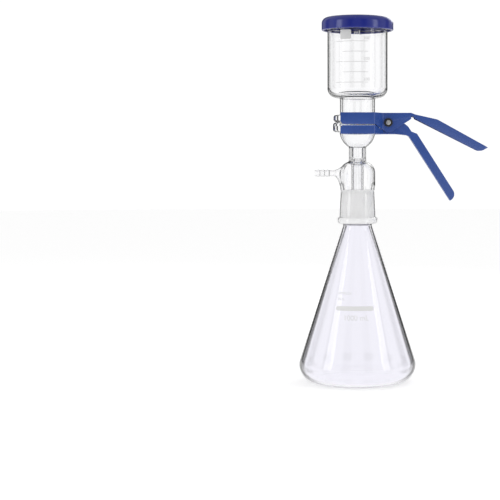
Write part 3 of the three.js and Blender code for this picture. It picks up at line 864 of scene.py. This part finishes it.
def build_flask_print(white):
    parts = [
        print_patch("band", *BAND, side_radius, FRONT, 0.8),
        print_text("volume", "1000 mL", 8.6, -17.0, 80.3, side_radius, FRONT),
        print_text("approx", "APPROX", WORDS_SIZE, WORDS_LEFT, 110.0, side_radius, FRONT),
        print_text("vol", "VOL", WORDS_SIZE, WORDS_LEFT, 103.5, side_radius, FRONT),
    ]
    obj = join(parts, "flask_print")
    return finish_piece(obj, "flask", [], [white])


# ---------- discs and lid ----------


def build_disc(name, node, slot, bottom, thickness, radius, corner, material):
    top = bottom + thickness
    corners = [(0, bottom), (radius, bottom, corner), (radius, top, corner), (0, top)]
    obj = turned(name, rounded(corners), DISC_SIDES)
    smooth(obj, 40)
    return finish_piece(obj, "filter_head", [node], [material])


def build_frit(material):
    place = (FACE_Z - FRIT_THICK, FRIT_THICK, FRIT_RADIUS, 0.3)
    return build_disc("sintered_disc", "frit_disc", "sintered_glass", *place, material)


def build_membrane(material):
    place = (MEMBRANE_BOTTOM, MEMBRANE_THICK, MEMBRANE_RADIUS, 0.05)
    return build_disc("membrane_disc", "membrane_filter", "filter_paper", *place, material)


def build_lid(material):
    inner = LID_RADIUS - LID_WALL
    seat = RIM_TOP + LID_GAP
    outline = rounded(
        [
            (0, LID_CEILING),
            (LID_SEAT, LID_CEILING, 0.8),
            (LID_SEAT, seat, 0.5),
            (inner, seat, 0.8),
            (inner, LID_BOTTOM + LID_LEAD, 3),
            (inner + LID_MOUTH, LID_BOTTOM, 0.4),
            (LID_RADIUS, LID_BOTTOM, 1.2),
            (LID_RADIUS, LID_TOP, LID_EDGE),
            (0, LID_TOP),
        ]
    )
    obj = turned("lid_cap", outline)
    smooth(obj, 50)
    return finish_piece(obj, "lid", ["lid"], [material])


# ---------- spring clamp ----------

CHAMFER = (2.6, 3.6)
SLANT_X, SLANT_RUN, SLANT_FALL = 20.5, 10.0, 18.0
SLANT_INSET = SHEET * math.tan(math.atan2(SLANT_FALL, SLANT_RUN) / 2)
PIN_HOLE = 2.2
PAST = 10.0  # how far a cutting shape runs past the sheet
PAST_TIP = 20.0  # the same beyond a handle's tip
SLOT_START_X, SLOT_STEPS = -60.0, 48
SHEET_LOW, SHEET_HIGH, SHEET_WIDE = 200.0, 350.0, 40.0  # holds a whole jaw
HOLLOW_LOW, HOLLOW_HIGH, HOLLOW_END_X = 210.0, 345.0, 170.0

# upper jaw: fork's lower edge, half widths of ears and tip, then its corners in X and Z
UPPER_WALL, UPPER_EAR, UPPER_TIP = 313.4, 14.5, 11.0
UPPER_SLOPE, UPPER_BEND, UPPER_TIP_X = math.radians(28.8), Vector((96.5, 319.6)), 158.2
EAR_X, EAR_Z, EAR_BOTTOM, UPPER_LOBE_X = 64.9, 320.2, (37.4, 302.2), 21.4
NOTCH_X, NOTCH_Z, NOTCH_LEAN, NOTCH_STEP = 69.2, 323.6, 0.4, 1.2
KINK = (5.0, 2.0)  # the web's first fall beyond the ears
UPPER_END = (148.5, 280.6)  # lower corner of the handle's round end
UPPER_SHOULDER = 4.0  # past the ears, where the handle starts to narrow

# lower jaw: the same, with the ear's corners from the fork round to the handle
LOWER_WALL, LOWER_EAR, LOWER_TIP = 312.5, 12.7, 10.0
LOWER_SLOPE, LOWER_BEND, LOWER_TIP_Z = math.radians(57.3), Vector((61.5, 300.4)), 221.3
SAG_X, WALL_DEPTH, LOWER_LOBE_X = 47.0, 9.9, 21.0
LOWER_EAR_X, LOWER_EAR_FOOT, LOWER_EAR_TOP = 32.2, 305.2, 322.6
EAR_FALL_X, EAR_END, EAR_HEEL = 45.0, (56.4, 314.8), (61.0, 311.4)
LOWER_NOTCH, LIP_START = (65.3, 305.0), (68.8, 303.6)
LIP_FULL, END_REACH = 4.0, 0.5  # where the handle's walls are full, and how far their end runs
LOWER_SHOULDER, TIP_REACH = 8.0, 6.0  # past the bend, and past the web's end
FOLD_RADIUS = 1.6  # outside of the fold between web and wall
EDGE_RADIUS = 0.3  # deburred sheet edges


def mirrored(half):
    """A plan outline from the corners of its +Y half."""
    return rounded([*half, *[(x, -y, *r) for x, y, *r in half[::-1]]])


def on_pivot(obj):
    """Moves a piece made about Z so that its axis is the clamp's pivot."""
    obj.data.transform(Matrix.Rotation(math.pi / 2, 4, "X"))
    obj.data.transform(Matrix.Translation((PIVOT.x * MM, 0, PIVOT.y * MM)))
    return obj


def folded_sheet(name, side, hollow, plan):
    """A folded sheet: a web as `side` shows it, and a wall down each edge of plan."""
    beyond = [-PAST, *[0] * (len(plan) - 2), PAST]
    inside = []
    for (x, y, *r), further in zip(plan, beyond):
        inside.append((x - SLANT_INSET + further, y - SHEET, *r))
    low, high, wide = SHEET_LOW, SHEET_HIGH, SHEET_WIDE

    def upright(x, y, h):
        return (x, y, h)

    def sideways(x, z, h):
        return (x, h, z)

    body = prism(name, side, -wide, wide, sideways)
    combine(body, prism("plan", mirrored(plan), low, high, upright), "INTERSECT")
    space = prism("space", hollow, -wide, wide, sideways)
    combine(space, prism("inner", mirrored(inside), low, high, upright), "INTERSECT")
    combine(body, space, "DIFFERENCE")
    slot = [Vector((SLOT_START_X, -FORK_SLOT)), Vector((0, -FORK_SLOT))]
    for k in range(1, SLOT_STEPS):
        angle = -math.pi / 2 + math.pi * k / SLOT_STEPS
        slot.append(Vector((math.cos(angle), math.sin(angle))) * FORK_SLOT)
    slot += [Vector((0, FORK_SLOT)), Vector((SLOT_START_X, FORK_SLOT))]
    combine(body, prism("slot", slot, low, high, upright), "DIFFERENCE")
    drill = rounded([(0, -wide), (PIN_HOLE, -wide), (PIN_HOLE, wide), (0, wide)])
    combine(body, on_pivot(turned("hole", drill, SMALL_SIDES)), "DIFFERENCE")
    tidy(body, 0.01)
    return body


def soften_sheet(obj):
    """Rounds the folds widely and every other sheet edge a little."""

    def is_fold(edge):
        if len(edge.link_faces) != 2 or not edge.is_convex:
            return False
        a, b = (face.normal for face in edge.link_faces)
        if abs(a.dot(b)) > 0.5:
            return False
        across = max(abs(a.y), abs(b.y))
        other = min(abs(a.y), abs(b.y))
        along = (edge.verts[0].co - edge.verts[1].co).normalized()
        return across > 0.8 and other < 0.2 and abs(along.z) < 0.93 and edge.calc_length() > 2 * MM

    def round_folds(bm):
        chosen = [edge for edge in bm.edges if is_fold(edge)]
        bmesh.ops.bevel(
            bm,
            geom=chosen,
            offset=FOLD_RADIUS * MM,
            segments=5,
            profile=0.5,
            affect="EDGES",
            clamp_overlap=True,
        )

    edit(obj, round_folds)
    modifier = obj.modifiers.new("edges", "BEVEL")
    modifier.width = EDGE_RADIUS * MM
    modifier.segments = 2
    modifier.limit_method = "ANGLE"
    modifier.angle_limit = math.radians(50)
    apply_modifiers(obj)
    smooth(obj, 35)


def build_upper_jaw(material):
    tip_z = UPPER_BEND.y - (UPPER_TIP_X - UPPER_BEND.x) * math.tan(UPPER_SLOPE)
    top = [
        (EAR_X, CLAMP_TOP, 1.5),
        (EAR_X + KINK[0], CLAMP_TOP - KINK[1], 1.5),
        (*UPPER_BEND, 14),
        (UPPER_TIP_X, tip_z),
    ]
    side = rounded(
        [
            (CLAMP_FRONT, CLAMP_TOP),
            *top,
            (*UPPER_END, 9),
            (NOTCH_X, EAR_Z + NOTCH_LEAN, 1),
            (NOTCH_X - NOTCH_LEAN, NOTCH_Z - NOTCH_STEP, 0.8),
            (EAR_X, NOTCH_Z, 0.4),
            (EAR_X, EAR_Z, 0.8),
            (*EAR_BOTTOM, 9),
            (UPPER_LOBE_X, UPPER_WALL, 1.5),
            (CLAMP_FRONT + CHAMFER[0], UPPER_WALL, 0.8),
            (CLAMP_FRONT, UPPER_WALL + CHAMFER[1], 0.8),
        ]
    )
    mitre = SHEET * math.tan(UPPER_SLOPE / 2)
    far_x = UPPER_TIP_X + PAST_TIP
    hollow = rounded(
        [
            (CLAMP_FRONT - PAST, CLAMP_TOP - SHEET),
            *[(x - mitre, z - SHEET, *r) for x, z, *r in top],
            (far_x, tip_z - SHEET - PAST_TIP * math.tan(UPPER_SLOPE)),
            (far_x, HOLLOW_LOW),
            (CLAMP_FRONT - PAST, HOLLOW_LOW),
        ]
    )
    plan = [
        (CLAMP_FRONT, FORK_HALF),
        (SLANT_X, FORK_HALF, 3),
        (SLANT_X + SLANT_RUN, UPPER_EAR, 3),
        (EAR_X + UPPER_SHOULDER, UPPER_EAR, 8),
        (UPPER_TIP_X, UPPER_TIP, 5),
    ]
    obj = folded_sheet("upper_jaw_sheet", side, hollow, plan)
    soften_sheet(obj)
    return finish_piece(obj, "upper_jaw", ["upper_jaw"], [material])


def build_lower_jaw(material):
    along = Vector((math.cos(LOWER_SLOPE), -math.sin(LOWER_SLOPE)))
    square = Vector((math.sin(LOWER_SLOPE), math.cos(LOWER_SLOPE)))
    mitre = SHEET * math.tan(LOWER_SLOPE / 2)
    length = (LOWER_BEND.y - LOWER_TIP_Z) / math.sin(LOWER_SLOPE)
    tip = LOWER_BEND + along * length

    def lip(distance):
        return LOWER_BEND + along * distance + square * WALL_DEPTH

    bottom = [(SAG_X, CLAMP_BOTTOM, 20), (*LOWER_BEND, 6), (*tip,)]
    side = rounded(
        [
            (CLAMP_FRONT, CLAMP_BOTTOM),
            *bottom,
            (*lip(length + END_REACH), 8.5),
            (*lip(LIP_FULL),),
            (*LIP_START, 0.5),
            (*LOWER_NOTCH, 1),
            (*EAR_HEEL, 7),
            EAR_END,
            (EAR_FALL_X, LOWER_EAR_TOP, 5),
            (LOWER_EAR_X, LOWER_EAR_TOP, 4),
            (LOWER_EAR_X, LOWER_EAR_FOOT),
            (LOWER_LOBE_X, LOWER_WALL, 1.5),
            (CLAMP_FRONT + CHAMFER[0], LOWER_WALL, 0.8),
            (CLAMP_FRONT, LOWER_WALL - CHAMFER[1], 0.8),
        ]
    )
    far = Vector((tip.x + mitre, tip.y + SHEET)) + along * PAST_TIP
    hollow = rounded(
        [
            (CLAMP_FRONT - PAST, CLAMP_BOTTOM + SHEET),
            *[(x + mitre, z + SHEET, *r) for x, z, *r in bottom],
            (*far,),
            (HOLLOW_END_X, HOLLOW_LOW),
            (HOLLOW_END_X, HOLLOW_HIGH),
            (CLAMP_FRONT - PAST, HOLLOW_HIGH),
        ]
    )
    plan = [
        (CLAMP_FRONT, FORK_HALF),
        (SLANT_X, FORK_HALF, 3),
        (SLANT_X + SLANT_RUN * (FORK_HALF - LOWER_EAR) / SLANT_FALL, LOWER_EAR, 1),
        (LOWER_BEND.x + LOWER_SHOULDER, LOWER_EAR, 8),
        (tip.x + TIP_REACH, LOWER_TIP),
    ]
    obj = folded_sheet("lower_jaw_sheet", side, hollow, plan)
    soften_sheet(obj)
    return finish_piece(obj, "lower_jaw", ["lower_jaw"], [material])


def build_pin(material):
    head, shank, inner, outer = 3.0, 2.0, 16.2, 17.8
    dimple, dimple_radius = 0.25, 1.1
    outline = rounded(
        [
            (0, -outer + dimple),
            (dimple_radius, -outer + dimple, 0.4),
            (1.8, -outer, 0.5),
            (head, -outer, 1.1),
            (head, -inner, 0.2),
            (shank, -inner),
            (shank, inner),
            (head, inner, 0.2),
            (head, outer, 1.1),
            (0, outer),
        ]
    )
    obj = on_pivot(turned("rivet", outline, SMALL_SIDES))
    smooth(obj, 40)
    return finish_piece(obj, "clamp_pin", ["pivot_pin"], [material])


def build_washer(name, node, side, material):
    radius, near, thick = 5.2, 14.8, 1.2
    low, high = sorted((near * side, (near + thick) * side))
    outline = rounded(
        [(PIN_HOLE, low, 0.2), (radius, low, 0.45), (radius, high, 0.45), (PIN_HOLE, high, 0.2)]
    )
    obj = on_pivot(turned(name, outline, SMALL_SIDES))
    smooth(obj, 60)
    return finish_piece(obj, "clamp_pin", [node], [material])


def tube(name, path, radius, sides=12):
    """A closed tube along points, with flat ends."""
    vertices, rings = [], []
    normal = Vector((0, 1, 0))
    for i, point in enumerate(path):
        ahead = path[min(i + 1, len(path) - 1)]
        behind = path[max(i - 1, 0)]
        tangent = (ahead - behind).normalized()
        normal = (normal - tangent * normal.dot(tangent)).normalized()
        other = tangent.cross(normal)
        rings.append(list(range(len(vertices), len(vertices) + sides)))
        for k in range(sides):
            angle = math.tau * k / sides
            vertices.append(point + (normal * math.cos(angle) + other * math.sin(angle)) * radius)
    faces = [rings[0][::-1], rings[-1]]
    for low, high in zip(rings, rings[1:]):
        faces += band(low, high)
    obj = make_object(name, vertices, faces)
    recalculate(obj)
    return obj


def curve_through(points, steps):
    """A smooth run of points through control points (Catmull-Rom)."""
    result = []
    for i in range(len(points) - 1):
        p0, p1 = points[max(i - 1, 0)], points[i]
        p2, p3 = points[i + 1], points[min(i + 2, len(points) - 1)]
        for k in range(steps):
            t = k / steps
            a = p1 * 2
            b = (p2 - p0) * t
            c = (p0 * 2 - p1 * 5 + p2 * 4 - p3) * t * t
            d = (p1 * 3 - p0 - p2 * 3 + p3) * t**3
            result.append((a + b + c + d) * 0.5)
    result.append(points[-1])
    return result


def build_spring(material):
    """The coil in two halves, each with the leg that presses one jaw."""
    radius, wire, turns, half_length = 5.0, 0.8, 7.5, 9.0
    leg_gap = 1.2  # from a leg's middle to the web that it presses
    x, z = PIVOT
    per_turn, leg_steps = 32, 10
    count = int(turns * per_turn)
    coil = []
    for k in range(count + 1):
        angle = math.pi / 2 + math.tau * k / per_turn
        across = -half_length + 2 * half_length * k / count
        coil.append(
            Vector((x + radius * math.cos(angle), across, z + radius * math.sin(angle)))
        )
    upper_leg = [
        Vector((60, -half_length, CLAMP_TOP - SHEET - leg_gap)),
        Vector((46, -half_length, z + radius + 1.8)),
        coil[0],
    ]
    lower_leg = [
        coil[-1],
        Vector((45, half_length, z - radius - 2)),
        Vector((55, half_length, CLAMP_BOTTOM + SHEET + leg_gap)),
    ]
    middle = count // 2
    upper_path = curve_through(upper_leg, leg_steps)[:-1] + coil[: middle + 1]
    lower_path = coil[middle:-1] + curve_through(lower_leg, leg_steps)
    upper = tube("spring_upper_half", upper_path, wire)
    lower = tube("spring_lower_half", lower_path, wire)
    halves = ((upper, "upper_jaw", upper_leg[0]), (lower, "lower_jaw", lower_leg[-1]))
    for obj, jaw, leg_end in halves:
        smooth(obj, 50)
        obj.data.materials.append(material)
        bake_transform(obj)
    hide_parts("torsion_spring")


# ---------- stage, light and camera ----------


def build_floor():
    """A plain white floor. Light that comes through the glass passes it by."""
    bpy.ops.mesh.primitive_circle_add(vertices=96, radius=6, fill_type="NGON")
    floor = bpy.context.object
    floor.name = "studio_floor"
    floor.location.z = -0.0004
    floor.visible_transmission = False
    shader = Shader("floor_look")
    shader.set(Roughness=0.9, Emission_Strength=0.46)
    shader.surface.inputs["Base Color"].default_value = (0.8, 0.8, 0.8, 1)
    shader.surface.inputs["Emission Color"].default_value = (1, 1, 1, 1)
    floor.data.materials.append(shader.material)


# dark flags around the set, one in each eighth of a turn, in degrees from the eighth's two ends,
# which fade out where a ray is steep
EIGHTH = 45.0
FLAG_LEFT, FLAG_RIGHT, FLAG_SOFT = 10.0, 12.0, 5.0
FLAG_LEVEL = 0.03
STEEP_FROM, STEEP_TO = 0.35, 0.6
BACKDROP = 1.05  # what the camera sees
INSIDE_LIGHT = 1.25  # light that reaches matt surfaces through clear glass
LEVEL, ABOVE, BESIDE = 0.42, 0.3, 0.3  # light on the object, and what height and sides add
DIM_FRONT, DIM_BACK = 0.15, 0.25  # what front and back take away
MIRRORED_SHADE = 0.8  # how far the flags dim a reflection


def build_world():
    """White backdrop, with dark flags that only reflections and rays through glass meet."""
    world = bpy.data.worlds.new("studio")
    bpy.context.scene.world = world
    world.use_nodes = True
    tree = world.node_tree
    tree.nodes.clear()

    def feed(socket, value):
        if hasattr(value, "is_linked"):
            tree.links.new(value, socket)
        else:
            socket.default_value = value

    def calc(operation, a, b=0.0, clamp=False):
        node = tree.nodes.new("ShaderNodeMath")
        node.operation = operation
        node.use_clamp = clamp
        feed(node.inputs[0], a)
        feed(node.inputs[1], b)
        return node.outputs[0]

    def mix(factor, a, b):
        node = tree.nodes.new("ShaderNodeMix")
        node.data_type = "FLOAT"
        node.clamp_factor = True
        for i, value in ((0, factor), (2, a), (3, b)):
            feed(node.inputs[i], value)
        return node.outputs[0]

    def rise(value, start, end):
        """0 below start, 1 above end."""
        return calc("DIVIDE", calc("SUBTRACT", value, start), end - start, clamp=True)

    coordinates = tree.nodes.new("ShaderNodeTexCoord")
    split = tree.nodes.new("ShaderNodeSeparateXYZ")
    tree.links.new(coordinates.outputs["Generated"], split.inputs[0])
    x, y, z = split.outputs
    eighths = calc("DIVIDE", calc("ARCTAN2", y, x), math.radians(EIGHTH))
    sector = calc("FRACT", calc("ADD", eighths, 8.0))
    from_left = calc("MULTIPLY", sector, EIGHTH)
    from_right = calc("SUBTRACT", EIGHTH, from_left)
    flag = calc(
        "MULTIPLY",
        rise(from_left, FLAG_LEFT, FLAG_LEFT + FLAG_SOFT),
        rise(from_right, FLAG_RIGHT, FLAG_RIGHT + FLAG_SOFT),
    )
    steep = rise(calc("ABSOLUTE", z), STEEP_FROM, STEEP_TO)
    shade = calc("MULTIPLY", flag, calc("SUBTRACT", 1.0, steep))
    through = mix(shade, 1.0, FLAG_LEVEL)
    # what falls on the object: dim from the front and back, bright from the sides and above
    front = calc("MULTIPLY", y, DIM_FRONT)
    back = calc("MULTIPLY", y, -DIM_BACK)
    sides = calc("MULTIPLY", calc("ABSOLUTE", x), BESIDE)
    level = calc("ADD", calc("MINIMUM", front, back), sides)
    around = calc("ADD", calc("MULTIPLY", z, ABOVE), level)
    around = calc("ADD", around, LEVEL)
    unshaded = calc("SUBTRACT", 1.0, calc("MULTIPLY", shade, MIRRORED_SHADE))
    mirrored = calc("MULTIPLY", around, unshaded)

    path = tree.nodes.new("ShaderNodeLightPath")
    inside = calc("GREATER_THAN", path.outputs["Transmission Depth"], 0.5)
    seen = mix(inside, mirrored, through)
    lit = mix(inside, around, INSIDE_LIGHT)
    scattered = calc("GREATER_THAN", path.outputs["Diffuse Depth"], 0.5)
    final = mix(scattered, seen, lit)
    final = mix(path.outputs["Is Camera Ray"], final, BACKDROP)
    background = tree.nodes.new("ShaderNodeBackground")
    background.inputs["Color"].default_value = (1, 1, 1, 1)
    tree.links.new(final, background.inputs["Strength"])
    output = tree.nodes.new("ShaderNodeOutputWorld")
    tree.links.new(background.outputs[0], output.inputs["Surface"])


def area_light(name, place, target, width, height, power):
    data = bpy.data.lights.new(name, "AREA")
    data.shape = "RECTANGLE"
    data.size, data.size_y, data.energy = width, height, power
    lamp = add_object(name, data)
    lamp.location = place
    lamp.rotation_euler = (Vector(target) - Vector(place)).to_track_quat("-Z", "Y").to_euler()
    lamp.visible_camera = False
    lamp.visible_transmission = False


def build_camera():
    """A long lens a little above the set's middle that looks slightly down."""
    distance, height, down = 1.647, 0.2697, math.radians(2.56)
    data = bpy.data.cameras.new("camera")
    data.sensor_width = 36
    data.lens = 97.2
    data.shift_x, data.shift_y = -0.215, -0.0578
    camera = add_object("camera", data)
    camera.location = (0, -distance, height)
    camera.rotation_euler = (math.pi / 2 - down, 0, 0)
    bpy.context.scene.camera = camera


def build_studio():
    build_floor()
    build_world()
    # name, place, what it aims at, width, height and power
    area_light("key", (-1.4, -0.8, 0.5), (0, 0, 0.35), 0.5, 1.0, 5)
    area_light("fill", (1.4, -0.85, 0.5), (0, 0, 0.35), 0.45, 1.0, 4.5)
    area_light("back", (0.5, 1.2, 0.9), (0, 0, 0.3), 0.8, 0.6, 4)
    build_camera()
    scene = bpy.context.scene
    scene.view_settings.view_transform = "Standard"
    scene.cycles.max_bounces = 32
    scene.cycles.diffuse_bounces = 12
    scene.cycles.transmission_bounces = 32


# ---------- the object ----------

build_studio()

CLEAR, LAVENDER = (0.995, 0.995, 1.0), (0.95, 0.945, 0.985)
flask_outside = clear_glass(
    "flask_glass_outside", LAVENDER, FLASK_EDGE_SHADE, fade_from=13, fade_to=25
)
flask_inside = clear_glass("flask_glass_inside", LAVENDER)
cup_outside = clear_glass("cup_glass_outside", CLEAR, CUP_EDGE_SHADE)
base_outside = clear_glass("base_glass_outside", CLEAR, BASE_EDGE_SHADE)
clear_inside = clear_glass("clear_glass_inside", CLEAR)
fine_outside = clear_glass("side_arm_glass_outside", CLEAR, FINE_EDGE_SHADE)
ground = ground_glass("ground_glass_look")
print_white = enamel("flask_enamel_look", 0.8)
scale_white = enamel("scale_enamel_look", 0.62)

build_flask(flask_outside, ground, flask_inside)
build_flask_print(print_white)
build_filter_base(base_outside, ground, clear_inside, fine_outside)
build_frit(sintered_glass())
build_membrane(filter_membrane())
build_funnel(cup_outside, clear_inside)
build_cup_scale(scale_white)
build_lid(lid_plastic())
coating = blue_coating()
build_upper_jaw(coating)
build_lower_jaw(coating)
build_pin(steel("rivet_steel_look", 0.5, 0.42))
washer_black = black_plastic()
build_washer("washer_near", "washer_front", -1, washer_black)
build_washer("washer_far", "washer_back", 1, washer_black)
build_spring(steel("spring_steel_look", 0.5, 0.28))
